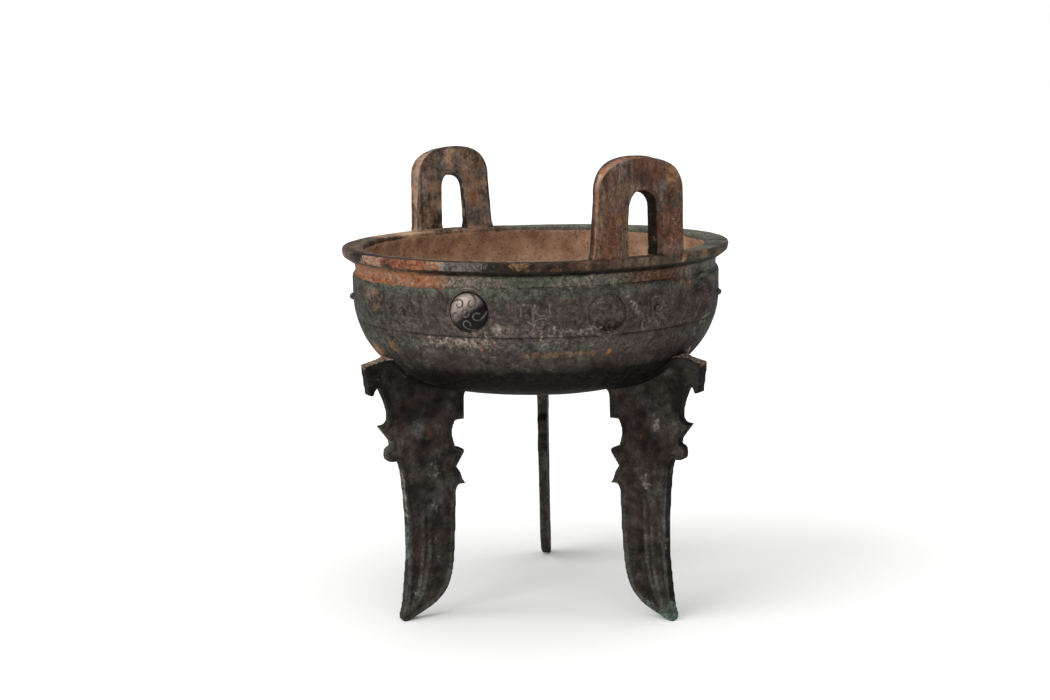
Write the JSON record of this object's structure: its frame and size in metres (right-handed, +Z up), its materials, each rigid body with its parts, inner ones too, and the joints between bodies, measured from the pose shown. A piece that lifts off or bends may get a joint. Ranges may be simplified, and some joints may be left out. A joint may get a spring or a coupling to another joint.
{
  "type": "bronze ding vessel",
  "caption": "Round cast bronze ding: shallow bowl with a flat out-turned rim, upright arch handles, a band of whorl bosses and notched flat blade legs.",
  "frame": {"origin": "on the ground under the bowl's axis, midway between the feet", "axes": "+Z up along the bowl's axis, X through the two handles"},
  "size_m": [0.3, 0.3, 0.3583],
  "materials": {
    "bronze": "aged cast bronze with a dark brown and grey-green patina, rust-red and ochre crusts and a polished boss"
  },
  "bodies": {
    "root": {"ding_vessel": "bronze"}
  },
  "joints": []
}
